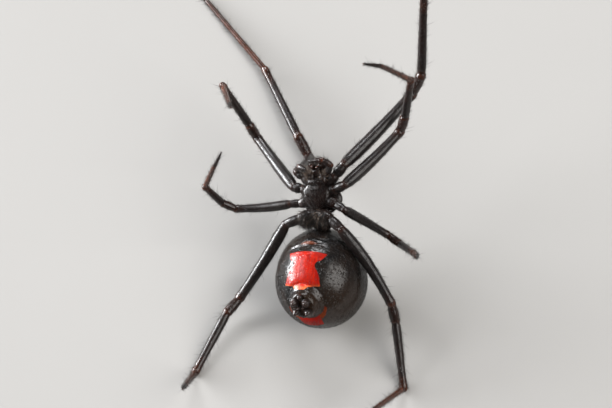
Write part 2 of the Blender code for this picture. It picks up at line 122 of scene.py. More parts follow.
# The orange tongue on the mound behind the mark: place, half width and reach
TONGUE = (-0.25, 0.75, 0.15)
CRESCENT_INNER = 1.42
CRESCENT_WIDTH = 1.2
CRESCENT_ENDS = (0.3, 0.45)
# Where the crescent's middle turns into its dimmer, narrower horns, and how much narrower they are
CRESCENT_MIDDLE = (0.74, 0.86)
CRESCENT_HORN = 0.5
EPIGYNE_LIP = (0.58, 0.13)
# A painted brown reflection on the spider's left side behind the middle: direction, and where the tone starts and is
# full
BROWN_REFLECTION_SIDE = ((0.62, -0.6, 0.5), (1.6, 3.4))

# Front body
CARAPACE_REAR = 4.6
CARAPACE_FRONT = 7.95
CARAPACE_HALF_WIDTH = 1.66
CARAPACE_HEAD_HALF_WIDTH = 0.86
CARAPACE_TOP = 1.0
CARAPACE_UNDERSIDE = 0.5
CARAPACE_CHEST_PLACE = 0.36
CARAPACE_CHEST_SPREAD = 0.3
CARAPACE_TOP_ARCH = 0.14
STERNUM_CENTRE = Vector((-0.06, 6.03, 0.77))
STERNUM_HALF = Vector((1.1, 1.08, 0.36))
STERNUM_TAPER = 0.42
STERNUM_SHOULDERS = 0.3
LABIUM_CENTRE = Vector((-0.07, 7.05, 0.97))
LABIUM_HALF = Vector((0.66, 0.32, 0.21))
MOUTH_CENTRE = Vector((0, 7.72, 0.5))
MOUTH_HALF = Vector((0.62, 0.52, 0.44))
MAXILLA_CENTRE = Vector((0.47, 7.33, 0.84))
MAXILLA_HALF = Vector((0.31, 0.47, 0.27))
MAXILLA_TURN = math.radians(18)
PEDICEL_CENTRE = Vector((0, 4.2, -0.18))
PEDICEL_HALF = Vector((0.87, 0.62, 0.35))
COXAE = {
    1: (Vector((0.55, 6.85, 0.35)), Vector((1.22, 7.5, 0.35)), 0.41),
    2: (Vector((0.6, 6.36, 0.4)), Vector((1.3, 6.58, 0.45)), 0.41),
    3: (Vector((0.6, 5.8, 0.45)), Vector((1.3, 5.55, 0.55)), 0.435),
    4: (Vector((0.22, 4.74, 0.9)), Vector((1.06, 4.52, 1.08)), 0.475),
}
COXA_SHAPE = ((0.0, 0.75), (0.3, 0.98), (0.62, 1.0), (0.88, 0.92), (1.0, 0.8))
COXA_TINT = ((0.0, 0.05), (0.7, 0.03), (1.0, 0.12))
FOVEA_PLACE = 5.75
# Grooves of the shield from its fovea: heading from the head's direction, depth, length
CARAPACE_GROOVES = ((32, 0.05, 1.9), (68, 0.03, 1.2), (104, 0.03, 1.2), (142, 0.025, 1.0))
EYES = (
    (0.14, 7.84, -0.52, 0.12),
    (0.16, 7.55, -0.86, 0.11),
    (0.46, 7.72, -0.42, 0.11),
    (0.5, 7.46, -0.66, 0.11),
)

# Jaws and feelers
CHELICERA_TOP = Vector((0.4, 8.22, 0.38))
CHELICERA_TIP = Vector((0.34, 8.26, 1.0))
CHELICERA_RADIUS = 0.32
CHELICERA_SHAPE = ((0.0, 0.9), (0.4, 1.0), (0.75, 0.9), (1.0, 0.7))
CHELICERA_TINT = ((0.0, 0.08), (0.6, 0.12), (1.0, 0.3))
FANG_TIP = Vector((0.1, 8.0, 1.28))
FANG_RADIUS = 0.075
PEDIPALPS = {
    "left": (
        Vector((0.98, 7.72, 1.06)),
        Vector((1.36, 8.28, 1.4)),
        Vector((0.81, 8.6, 1.75)),
        Vector((-0.18, 8.53, 1.8)),
    ),
    "right": (
        Vector((-1.05, 7.45, 1.15)),
        Vector((-1.28, 7.85, 1.35)),
        Vector((-0.86, 8.15, 1.86)),
        Vector((-0.28, 7.96, 2.2)),
    ),
}

PALP_RADII = (0.21, 0.235, 0.245, 0.235)

# Legs, as in the solids: lengths of femur, patella, tibia, metatarsus and tarsus
SEGMENT_LENGTHS = {
    1: (7.3, 1.8, 6.2, 7.4, 2.6),
    2: (5.6, 1.3, 3.8, 4.4, 1.8),
    3: (4.3, 1.15, 2.4, 3.0, 1.4),
    4: (6.45, 1.4, 4.85, 5.6, 2.0),
}
# The skin's greatest radius of each segment
SEGMENT_RADII = {
    1: (0.46, 0.39, 0.325, 0.205, 0.15),
    2: (0.43, 0.36, 0.305, 0.2, 0.145),
    3: (0.355, 0.305, 0.27, 0.185, 0.135),
    4: (0.43, 0.37, 0.325, 0.205, 0.15),
}
FEMUR_BOW = 0.035
TROCHANTER_SIZE = 0.88
LEGS = {
    "leg_1_left": (
        Vector((1.6, 8.3, 1.0)),
        ((46, -14), (65, 37), (89, 22), (95, 48), (100, 58)),
    ),
    "leg_2_left": (
        Vector((1.65, 6.85, 1.4)),
        ((44, -10), (73, 36), (82, 48), (159, 58), (175, 47)),
    ),
    "leg_3_left": (
        Vector((1.6, 5.1, 1.45)),
        ((-30, -33), (-36, 14), (-34, 62), (-60, 86), (180, 84)),
    ),
    "leg_4_left": (
        Vector((1.4, 3.7, 1.95)),
        ((-56, -9), (-76, -20), (-83, -4), (-151, 62), (-139, 54)),
    ),
    "leg_1_right": (
        Vector((-1.7, 7.8, -0.25)),
        ((53, -79), (118, -4), (116, -26), (130, -23), (132, -21)),
    ),
    "leg_2_right": (
        Vector((-1.98, 6.7, -0.35)),
        ((126.4, -36.8), (122, 35), (124, 28), (-68, 70), (-67, 79)),
    ),
    "leg_3_right": (
        Vector((-2.2, 5.5, -0.2)),
        ((-175, -23), (157, 20), (136, 47), (63, 58), (62, 39)),
    ),
    "leg_4_right": (
        Vector((-2.55, 4.05, 0.05)),
        ((-122, -13), (-131, 9), (-118, 10), (-130, 82), (-128, 84)),
    ),
}

# Claws of each foot: sideways spread, drop and size, and their radius
CLAWS = ((0.35, 0.1, 0.14), (-0.35, 0.1, 0.14), (0.0, -0.25, 0.09))
CLAW_RADIUS = 0.022

# Colours
BLACK_COOL = (0.0035, 0.0035, 0.004, 1)
BLACK_WARM = (0.007, 0.0045, 0.0038, 1)
JOINT_BROWN = (0.1, 0.027, 0.011, 1)
# Brown of the belly's mottling and of the painted brown reflection on its left side
BELLY_BROWN_AND_REFLECTION = (0.022, 0.012, 0.007, 1)
# Grey of the streaks painted on the front body as glints off its bristles
GLINT_STREAK_GREY = (0.05, 0.047, 0.043, 1)
HOURGLASS_RED = (0.47, 0.014, 0.002, 1)
HOURGLASS_DEEP = (0.28, 0.003, 0.001, 1)
HOURGLASS_ORANGE = (0.56, 0.12, 0.03, 1)
CRESCENT_RED = (0.36, 0.008, 0.002, 1)
CRESCENT_DIM = (0.2, 0.034, 0.006, 1)
EPIGYNE_BROWN = (0.12, 0.03, 0.011, 1)
FLOOR_TONES = ((0.38, 0.372, 0.36, 1), (0.41, 0.4, 0.388, 1))
FLOOR_HALF = 1.5
# Gloss of the skin: specular level, weight and roughness of the clear layer, roughness of each part
SKIN_SPECULAR = 0.38
MATT_SPECULAR = 0.06
# How far the red marks are from the skin's gloss to the matt one
MARK_DULLNESS = 0.4
SKIN_COAT = (0.08, 0.18)
LIMB_ROUGHNESS = 0.28
FRONT_ROUGHNESS = 0.2
# How much smoother the skin is at the joints
JOINT_POLISH = 0.12
ABDOMEN_ROUGHNESS = 0.2
# Bristle sockets: how many per millimetre, where their dip is deepest and gone, and how deep it is
LIMB_SOCKETS = (6.0, 0.1, 0.3, 0.03)
ABDOMEN_SOCKETS = (4.8, 0.12, 0.4, 0.04)

# Lights: name, azimuth from +Y towards +X, elevation, distance, width, height, power, colour
LIGHTS = (
    ("key_left", -72, 5, 0.60, 0.48, 0.15, 12.0, (0.96, 0.98, 1.0)),
    ("glow_left", -74, 22, 0.60, 0.42, 0.42, 4.2, (0.97, 0.98, 1.0)),
    ("key_back", -8, 42, 0.60, 0.34, 0.10, 2.2, (0.97, 0.98, 1.0)),
    ("fill_right", 107, 49, 0.60, 0.54, 0.50, 3.9, (1.0, 0.98, 0.95)),
)
ROOM_COLOUR = (0.86, 0.87, 0.88, 1)
ROOM_STRENGTH = 0.15

# How the skin's radius runs along each segment: (fraction of the length, share of the greatest)
SEGMENT_SHAPES = {
    "coxa": COXA_SHAPE,
    "trochanter": ((0.0, 0.72), (0.3, 0.97), (0.6, 1.0), (0.88, 0.88), (1.0, 0.76)),
    "femur": ((0.0, 0.76), (0.02, 0.82), (0.07, 0.93), (0.2, 1.0), (0.4, 0.97), (0.62, 0.88),
              (0.82, 0.8), (0.93, 0.79), (0.975, 0.86), (1.0, 0.83)),
    "patella": ((0.0, 0.78), (0.22, 0.9), (0.55, 1.0), (0.85, 0.95), (0.95, 0.97), (1.0, 0.88)),
    "tibia": ((0.0, 0.84), (0.03, 0.92), (0.12, 1.0), (0.4, 0.95), (0.7, 0.86), (0.9, 0.84),
              (0.97, 0.93), (1.0, 0.88)),
    "metatarsus": ((0.0, 0.86), (0.03, 1.0), (0.3, 0.97), (0.6, 0.9), (0.94, 0.84), (1.0, 0.78)),
    "tarsus": ((0.0, 0.88), (0.05, 1.0), (0.35, 0.9), (0.75, 0.62), (1.0, 0.36)),
}
# How brown each segment is along its length: 0 is black, 1 is red-brown
SEGMENT_TINTS = {
    "coxa": COXA_TINT,
    "trochanter": ((0.0, 0.1), (0.3, 0.03), (0.8, 0.04), (1.0, 0.16)),
    "femur": ((0.0, 0.14), (0.04, 0.03), (0.8, 0.03), (0.95, 0.12), (1.0, 0.4)),
    "patella": ((0.0, 0.45), (0.3, 0.15), (0.8, 0.15), (1.0, 0.35)),
    "tibia": ((0.0, 0.22), (0.1, 0.05), (0.7, 0.08), (0.92, 0.3), (1.0, 0.6)),
    "metatarsus": ((0.0, 0.7), (0.15, 0.8), (0.6, 0.6), (1.0, 0.45)),
    "tarsus": ((0.0, 0.35), (0.2, 0.1), (1.0, 0.04)),
}
LEG_PARTS = ("femur", "patella", "tibia", "metatarsus", "tarsus")
PALP_PARTS = ("femur", "patella", "tibia", "tarsus")
RING_STEP = 0.1
LEG_SIDES = 28
DOME_TURNS = tuple(math.radians(turn) for turn in (18, 36, 54, 70, 82))

# Bristles for each part: how many per square millimetre, length, radius and lift from the skin
COATS = {
    "coxa": (34, 0.20, 0.0075, 38),
    "trochanter": (26, 0.20, 0.0075, 34),
    "femur": (30, 0.24, 0.0075, 30),
    "patella": (36, 0.28, 0.008, 34),
    "tibia": (44, 0.30, 0.008, 36),
    "metatarsus": (80, 0.26, 0.007, 38),
    "tarsus": (130, 0.22, 0.0065, 42),
}
PALP_COATS = {
    "femur": (40, 0.2, 0.007, 36),
    "patella": (50, 0.24, 0.007, 38),
    "tibia": (70, 0.28, 0.007, 42),
    "tarsus": (150, 0.26, 0.0065, 44),
}
ABDOMEN_BRISTLES = 13500
ABDOMEN_HAIR = (0.19, 0.0075, 28)
# Round forms of the front body: centre, half sizes, count, (length, radius, lift), flow, side
BODY_COATS = (
    ((-0.06, 6.1, 0.77), (0.95, 0.95, 0.36), 900, (0.34, 0.013, 36), (0, 1, 0.2), 1),
    ((0, 6.2, 0.0), (1.45, 1.6, 0.92), 1500, (0.16, 0.006, 30), (0, 1, 0), -1),
    ((0.62, 4.54, 1.02), (0.66, 0.45, 0.45), 1100, (0.5, 0.01, 40), (0.1, -1, 0.05), 1),
    ((-0.56, 4.48, 1.02), (0.62, 0.48, 0.45), 2000, (0.54, 0.01, 30), (-0.02, -1, 0), 1),
    ((0.47, 7.33, 0.84), (0.28, 0.43, 0.24), 260, (0.24, 0.0065, 55), (-0.3, 1, 0.5), 1),
    ((-0.47, 7.33, 0.84), (0.28, 0.43, 0.24), 260, (0.24, 0.0065, 55), (0.3, 1, 0.5), 1),
    ((-0.07, 7.05, 0.97), (0.6, 0.28, 0.19), 90, (0.14, 0.006, 50), (0, 1, 0.3), 1),
    ((0.37, 8.24, 0.7), (0.3, 0.3, 0.5), 340, (0.24, 0.0065, 45), (0, 0.4, 1), 1),
    ((-0.37, 8.24, 0.7), (0.3, 0.3, 0.5), 340, (0.24, 0.0065, 45), (0, 0.4, 1), 1),
    ((0, 4.2, -0.18), (0.85, 0.6, 0.33), 700, (0.34, 0.008, 50), (0, -1, 0.1), 1),
)
# The pale tufts at the mouth and the strands over the waist, as the coats above. The tuft on the spider's left has
# fewer pale bristles than the right one, as painted shade on that side.
PALE_COATS = (
    ((0.55, 7.56, 0.88), (0.24, 0.26, 0.24), 160, (0.34, 0.009, 52), (0.3, 1, 0.3), 1),
    ((-0.55, 7.6, 0.88), (0.24, 0.24, 0.24), 320, (0.42, 0.01, 50), (-0.3, 1, 0.3), 1),
    ((0.58, 4.54, 1.02), (0.68, 0.46, 0.46), 100, (0.6, 0.015, 24), (0.0, -1, 0.05), 1),
    ((-0.5, 4.54, 1.02), (0.6, 0.46, 0.46), 40, (0.5, 0.014, 24), (-0.05, -1, 0.05), 1),
)
LONG_BRISTLE_SHARE = 0.045
LONG_BRISTLE_GROWTH = 2.1
LONG_BRISTLE_LIFT = 30
SETA_SINK = 0.02
UV_PATCH = 0.003


def heading(degrees, rise):
    """The unit direction of a heading in the plane of X and Y and a rise out of it."""
    turn = math.radians(degrees)
    lift = math.radians(rise)
    return Vector((math.cos(lift) * math.cos(turn), math.cos(lift) * math.sin(turn), math.sin(lift)))


def mirrored(point):
    """A point of the left side on the right side."""
    return Vector((-point.x, point.y, point.z))


def eased(share, table):
    """A value read from a table of (share, value) along smooth steps."""
    places = [place for place, value in table]
    values = [value for place, value in table]
    index = int(np.clip(np.searchsorted(places, share) - 1, 0, len(places) - 2))
    part = min(max((share - places[index]) / (places[index + 1] - places[index]), 0.0), 1.0)
    part = part * part * (3 - 2 * part)
    return values[index] + part * (values[index + 1] - values[index])


def smooth_bump(angle, height, full, reach):
    """A rise of the given height that is full near an axis and gone past its reach."""
    share = np.clip((reach - angle) / (reach - full), 0.0, 1.0)
    return height * share * share * (3 - 2 * share)


def pit(distance, depth, width):
    """A round-bottomed dip at distance 0."""
    return -depth * np.exp(-((distance / width) ** 2))


class Surface:
    """Vertices, faces, brown tint and material number of one closed form, in world millimetres."""

    def __init__(self, vertices, faces, tints, material=0):
        self.vertices = np.asarray(vertices, dtype=float)
        self.faces = faces
        self.tints = np.broadcast_to(np.asarray(tints, dtype=float), (len(self.vertices),))
        self.material = material

    def placed(self, matrix):
        """The same form moved by a matrix."""
        turn = np.array(matrix.to_3x3())
        shift = np.array(matrix.translation)
        self.vertices = self.vertices @ turn.T + shift
        return self

    def build(self, name, materials):
        """A mesh object of the form, in metres."""
        mesh = bpy.data.meshes.new(name)
        mesh.from_pydata((self.vertices * MM).tolist(), [], self.faces)
        for material in materials:
            mesh.materials.append(material)
        mesh.polygons.foreach_set("material_index", [self.material] * len(self.faces))
        tint = mesh.attributes.new("tint", "FLOAT", "POINT")
        tint.data.foreach_set("value", self.tints.astype(np.float32))
        thing = bpy.data.objects.new(name, mesh)
        bpy.context.scene.collection.objects.link(thing)
        return thing


def transported(tangents, across):
    """Two directions across each tangent that don't twist from ring to ring."""
    pairs = []
    for tangent in tangents:
        across = (across - across.dot(tangent) * tangent).normalized()
        pairs.append((across, tangent.cross(across)))
    return pairs


def tube(rings, sides, across=None, material=0):
    """A closed tube through rings, each a centre, a tangent, a radius and a tint."""
    tangents = [ring[1] for ring in rings]
    if across is None:
        across = tangents[0].orthogonal()
    vertices = []
    tints = []
    turns = np.linspace(0, 2 * math.pi, sides, endpoint=False)
    for (centre, tangent, radius, tint), (first, second) in zip(rings, transported(tangents, across)):
        circle = np.outer(np.cos(turns), np.array(first)) + np.outer(np.sin(turns), np.array(second))
        vertices.append(np.array(centre) + circle * radius)
        tints += [tint] * sides
    vertices = np.concatenate(vertices)
    faces = []
    for ring in range(len(rings) - 1):
        base = ring * sides
        for side in range(sides):
            after = (side + 1) % sides
            faces.append((base + side, base + after, base + sides + after, base + sides + side))
    poles = []
    for end, way in ((0, -1), (-1, 1)):
        centre, tangent, radius, tint = rings[end]
        poles.append(np.array(centre + tangent * way * radius * 0.14))
        tints.append(tint)
    start, finish = len(vertices), len(vertices) + 1
    last = (len(rings) - 1) * sides
    for side in range(sides):
        after = (side + 1) % sides
        faces.append((start, after, side))
        faces.append((finish, last + side, last + after))
    return Surface(np.vstack([vertices, poles]), faces, tints, material)


def limb_rings(start, way, length, radius, shape, tint, bow=None):
    """Rings of a straight or bowed limb segment with a rounded end at each joint."""
    bow = bow or Vector((0, 0, 0))
    count = max(int(length / RING_STEP), 8)
    shares = sorted({round(index / count, 5) for index in range(count + 1)} | {place for place, size in shape})

    def ring(share, inset_turn=0.0, outward=0):
        size = radius * eased(share, shape)
        centre = start + way * length * share + bow * math.sin(math.pi * share)
        tangent = (way * length + bow * math.pi * math.cos(math.pi * share)).normalized()
        centre = centre + tangent * outward * size * math.sin(inset_turn)
        return centre, tangent, size * math.cos(inset_turn), eased(share, tint)

    rings = [ring(0.0, turn, -1) for turn in reversed(DOME_TURNS)]
    rings += [ring(share) for share in shares]
    rings += [ring(1.0, turn, 1) for turn in DOME_TURNS]
    return rings


def ovoid(centre, half, segments, rings, tint, turn=0.0, shaper=None, material=0):
    """A closed ellipsoid in the body frame, turned about Z and reshaped by a function of its directions."""
    polar = np.linspace(0, math.pi, rings + 1)[1:-1]
    around = np.linspace(0, 2 * math.pi, segments, endpoint=False)
    polar, around = np.meshgrid(polar, around, indexing="ij")
    directions = np.stack([np.sin(polar) * np.cos(around), np.cos(polar), -np.sin(polar) * np.sin(around)], -1)
    directions = np.vstack([directions.reshape(-1, 3), [(0, 1, 0), (0, -1, 0)]])
    points = shaper(directions) if shaper else directions
    points = points * np.array(half)
    spin = np.array(Matrix.Rotation(turn, 3, "Z"))
    points = points @ spin.T + np.array(centre)
    faces = []
    loops = rings - 1
    for ring in range(loops - 1):
        base = ring * segments
        for side in range(segments):
            after = (side + 1) % segments
            faces.append((base + side, base + segments + side, base + segments + after, base + after))
    front, rear = loops * segments, loops * segments + 1
    last = (loops - 1) * segments
    for side in range(segments):
        after = (side + 1) % segments
        faces.append((front, side, after))
        faces.append((rear, last + after, last + side))
    return Surface(points, faces, tint, material).placed(BODY)


def belly_axis(angle):
    """The direction on the belly's midline at an angle from its normal, head end first."""
    return np.array((0.0, math.sin(angle), math.cos(angle)))


def angle_to(directions, axis):
    """The angle between each direction and an axis."""
    return np.arccos(np.clip(directions @ axis, -1, 1))


def relief(directions, scale, seed):
    """Smooth noise on a round form, between -1 and 1."""
    offset = Vector((seed, 0, 0))
    return np.array([noise.noise(Vector(direction) * scale + offset) for direction in directions])


def abdomen_reach(directions):
    """How far the skin of the abdomen is from its centre in each direction."""
    x, y, z = directions.T
    narrow = 1 - ABDOMEN_FRONT_TAPER * y
    width, height = ABDOMEN_HALF[0] * narrow, ABDOMEN_HALF[2] * narrow
    reach = 1 / np.sqrt((x / width) ** 2 + (y / ABDOMEN_HALF[1]) ** 2 + (z / height) ** 2) - COAT_DEPTH
    from_mound = angle_to(directions, belly_axis(SPINNERET_ANGLE))
    reach += smooth_bump(from_mound, *SPINNERET_MOUND)
    reach += smooth_bump(from_mound, *SPINNERET_FIELD)
    reach += smooth_bump(angle_to(directions, belly_axis(EPIGYNE_ANGLE)), *EPIGYNE_MOUND)
    for place, depth, width in MOUND_CREASES:
        reach += pit(from_mound - place, depth, width)
    belly = np.clip(z * 3, 0, 1)
    angle = np.arctan2(y, z)
    across = x * ABDOMEN_HALF[0]
    for place, depth, width, half in FURROWS:
        fade = np.exp(-((across / half) ** 4)) * belly
        reach += pit(angle - place + 0.02 * across ** 2, depth, width) * fade
    for side in (-1, 1):
        for out, along, depth, radius in MUSCLE_PITS:
            spot = np.array((side * out, along, -2.9))
            spot /= np.linalg.norm(spot)
            reach += pit(angle_to(directions, spot) * ABDOMEN_HALF[0], depth, radius)
    folds = relief(directions * np.array((1, 3.2, 1)), 7.5, 11)
    front = smooth_bump(angle_to(directions, belly_axis(math.radians(58))), 1.0, 0.2, 0.62)
    ring = np.exp(-(((from_mound - math.radians(22)) / 0.09) ** 2))
    reach += 0.035 * folds * np.maximum(front, 0.7 * ring)
    reach += 0.028 * relief(directions, 1.7, 3) + 0.007 * relief(directions, 9.0, 7)
    return reach


def make_abdomen():
    """The round hind body."""
    def shaper(directions):
        return directions * abdomen_reach(directions)[:, None]

    return ovoid(ABDOMEN_CENTRE, (1, 1, 1), ABDOMEN_SEGMENTS, ABDOMEN_RINGS, 0.0, shaper=shaper,
                 material=ABDOMEN)


def make_spinnerets():
    """The six spinnerets, the small colulus between them and the anal tubercle."""
    axis = Vector(belly_axis(SPINNERET_ANGLE))
    rearward = Vector((0, axis.z, -axis.y))
    reach = float(abdomen_reach(np.array([axis]))[0])
    foot = ABDOMEN_CENTRE + axis * (reach - SPINNERET_ROOT)
    turn = BODY.to_3x3()
    cones = []
    for across, back, radius, length, slant in SPINNERETS:
        for side in ((-1, 1) if across else (1,)):
            base = foot + Vector((side * across, 0, 0)) + rearward * back
            lean = (axis + rearward * slant + Vector((side * across * SPINNERET_SPLAY, 0, 0))).normalized()
            rings = limb_rings(BODY @ base, (turn @ lean).normalized(), length, radius, SPINNERET_SHAPE,
                               SPINNERET_TINT)
            cones.append(tube(rings, 20))
    return cones


def carapace_relief(x, place, dorsal):
    """Dips on the back of the front body: the fovea, the grooves from it and the edge of the head."""
    depth = pit(np.hypot(x / 0.9, place - FOVEA_PLACE), 0.14, 0.2)
    for heading_degrees, dip, length in CARAPACE_GROOVES:
        turn = math.radians(heading_degrees)
        way = np.array((math.sin(turn), math.cos(turn)))
        away = np.stack([np.abs(x), np.full_like(x, place - FOVEA_PLACE)], -1)
        along = away @ way
        beside = away @ np.array((way[1], -way[0]))
        depth = depth + pit(beside, dip, 0.07) * smooth_bump(np.abs(along - length / 2), 1.0, length / 3, length / 2)
    return depth * dorsal


def make_carapace():
    """The shield over the front body, pear shaped from above."""
    sides, count = 96, 60
    turns = np.linspace(0, 2 * math.pi, sides, endpoint=False)
    vertices = []
    widening = CARAPACE_HALF_WIDTH - CARAPACE_HEAD_HALF_WIDTH
    for index in range(count):
        share = (1 - math.cos(math.pi * (index + 0.5) / count)) / 2
        place = CARAPACE_REAR + share * (CARAPACE_FRONT - CARAPACE_REAR)
        ends = math.sqrt(max(1 - (2 * share - 1) ** 4, 0.0))
        chest = math.exp(-(((share - CARAPACE_CHEST_PLACE) / CARAPACE_CHEST_SPREAD) ** 2))
        half = ends * (CARAPACE_HEAD_HALF_WIDTH + widening * chest) - COAT_DEPTH
        top = ends * CARAPACE_TOP * (1 - CARAPACE_TOP_ARCH * (1 - math.sin(math.pi * share))) - COAT_DEPTH
        low = ends * CARAPACE_UNDERSIDE - COAT_DEPTH
        depth = np.where(np.sin(turns) > 0, top, low)
        x = half * np.cos(turns)
        dorsal = np.clip(np.sin(turns) * 2.2, 0, 1)
        dip = carapace_relief(x, place, dorsal)
        shrink = 1 + dip / max(top, 0.2)
        vertices.append(np.stack([x * shrink, np.full(sides, place), -depth * np.sin(turns) * shrink], -1))
    middle = np.array([(0, CARAPACE_REAR - 0.01, 0), (0, CARAPACE_FRONT + 0.01, 0)])
    vertices = np.vstack([np.concatenate(vertices), middle])
    faces = []
    for ring in range(count - 1):
        base = ring * sides
        for side in range(sides):
            after = (side + 1) % sides
            faces.append((base + side, base + after, base + sides + after, base + sides + side))
    last = (count - 1) * sides
    for side in range(sides):
        after = (side + 1) % sides
        faces.append((count * sides, after, side))
        faces.append((count * sides + 1, last + side, last + after))
    return Surface(vertices, faces, 0.05, FRONT).placed(BODY)


def sternum_shape(directions):
    """Heart shaped and flat: broad in front, pointed behind, with a low rim and a dip before each leg."""
    x, y, z = directions.T
    share = 1 - STERNUM_TAPER * np.clip(-y, 0, 1) + STERNUM_SHOULDERS * np.clip(y, 0, 1) ** 2
    scallop = 1 - 0.035 * np.cos(7.5 * np.arctan2(y, np.abs(x)))
    away = np.hypot(x, y)
    dome = 1 + 0.42 * away ** 2 + 0.12 * away ** 4 + 0.07 * relief(directions, 4.0, 21)
    return np.stack([x * share * scallop, y, z * dome], -1)


def make_front_body():
    """Shield, breastplate, lip, palp bases, leg bases, jaws and waist."""
    turn = BODY.to_3x3()
    forms = [
        make_carapace(),
        ovoid(STERNUM_CENTRE, STERNUM_HALF * 0.96, 72, 48, 0.05, shaper=sternum_shape, material=FRONT),
        ovoid(LABIUM_CENTRE, LABIUM_HALF * 0.95, 48, 28, 0.04, material=FRONT),
        ovoid(MOUTH_CENTRE, MOUTH_HALF * 0.95, 32, 22, 0.12),
        ovoid(PEDICEL_CENTRE, PEDICEL_HALF, 40, 28, 0.05, material=FRONT),
    ]
    for side, flip in ((1, lambda point: point), (-1, mirrored)):
        forms.append(ovoid(flip(MAXILLA_CENTRE), MAXILLA_HALF * 0.95, 32, 24, 0.08, side * MAXILLA_TURN))
        top, tip = flip(CHELICERA_TOP), flip(CHELICERA_TIP)
        down = tip - top
        rings = limb_rings(BODY @ top, (turn @ down).normalized(), down.length, CHELICERA_RADIUS,
                           CHELICERA_SHAPE, CHELICERA_TINT)
        forms.append(tube(rings, 28))
    return forms


def palp_joints(side):
    """World places of the feeler's joints, from its base to its tip."""
    base, elbow, wrist, tip = [BODY @ point for point in PEDIPALPS[side]]
    return (base, base.lerp(elbow, 0.97), elbow.lerp(wrist, 0.38), wrist, tip)


def palp_segments(side):
    """Start, way, length, radius and part name of each stretch of a feeler."""
    joints = palp_joints(side)
    stretches = []
    for part, radius, start, end in zip(PALP_PARTS, PALP_RADII, joints, joints[1:]):
        way = end - start
        stretches.append((start, way.normalized(), way.length, radius, part, Vector((0, 0, 0))))
    return stretches


def leg_segments(name):
    """Start, way, length, radius, part name and bow of each segment of a leg, in the world."""
    pair = int(name.split("_")[1])
    root, turns = LEGS[name]
    turn = POSE.to_3x3()
    ways = [(turn @ heading(*angles)).normalized() for angles in turns]
    base, hip, coxa_radius = COXAE[pair]
    if name.endswith("right"):
        base, hip = mirrored(base), mirrored(hip)
    base, hip, start = BODY @ base, BODY @ hip, POSE @ root
    radii = SEGMENT_RADII[pair]
    inward, out = hip - base, start - hip
    still = Vector((0, 0, 0))
    segments = [
        (base, inward.normalized(), inward.length, coxa_radius, "coxa", still),
        (hip, out.normalized(), out.length, radii[0] * TROCHANTER_SIZE, "trochanter", still),
    ]
    outward = (ways[0] - ways[1]).normalized()
    outward = (outward - outward.dot(ways[0]) * ways[0]).normalized()
    for way, length, radius, part in zip(ways, SEGMENT_LENGTHS[pair], radii, LEG_PARTS):
        bow = outward * FEMUR_BOW * length if part == "femur" else still
        segments.append((start, way, length, radius, part, bow))
        start = start + way * length
    return segments


def limb_surfaces(segments, sides):
    """The closed skins of a limb's segments."""
    surfaces = []
    for start, way, length, radius, part, bow in segments:
        rings = limb_rings(start, way, length, radius, SEGMENT_SHAPES[part], SEGMENT_TINTS[part], bow)
        surfaces.append(tube(rings, sides))
    return surfaces


def fuse(name, surfaces, materials):
    """One closed mesh from closed forms that run into each other."""
    group = bpy.data.collections.new(name + "_forms")
    bpy.context.scene.collection.children.link(group)
    body, *others = [surface.build(name, materials) for surface in surfaces]
    for other in others:
        bpy.context.scene.collection.objects.unlink(other)
        group.objects.link(other)
    union = body.modifiers.new("union", "BOOLEAN")
    union.operation = "UNION"
    union.operand_type = "COLLECTION"
    union.collection = group
    union.solver = "MANIFOLD"
    bpy.context.view_layer.objects.active = body
    bpy.ops.object.modifier_apply(modifier=union.name)
    for other in others:
        bpy.data.meshes.remove(other.data)
    bpy.data.collections.remove(group)
    return body


def settle(body):
    """Presses what would reach below the floor flat on it."""
    places = np.empty(len(body.data.vertices) * 3)
    body.data.vertices.foreach_get("co", places)
    places = places.reshape(-1, 3)
    places[:, 2] = np.maximum(places[:, 2], FLOOR_CLEARANCE * MM)
    body.data.vertices.foreach_set("co", places.ravel())
    body.data.update()


def finish_piece(piece, slot, *nodes):
    """Rides a piece on the body and hides the solids it stands for."""
    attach(piece, "root")
    if nodes:
        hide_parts(*nodes)


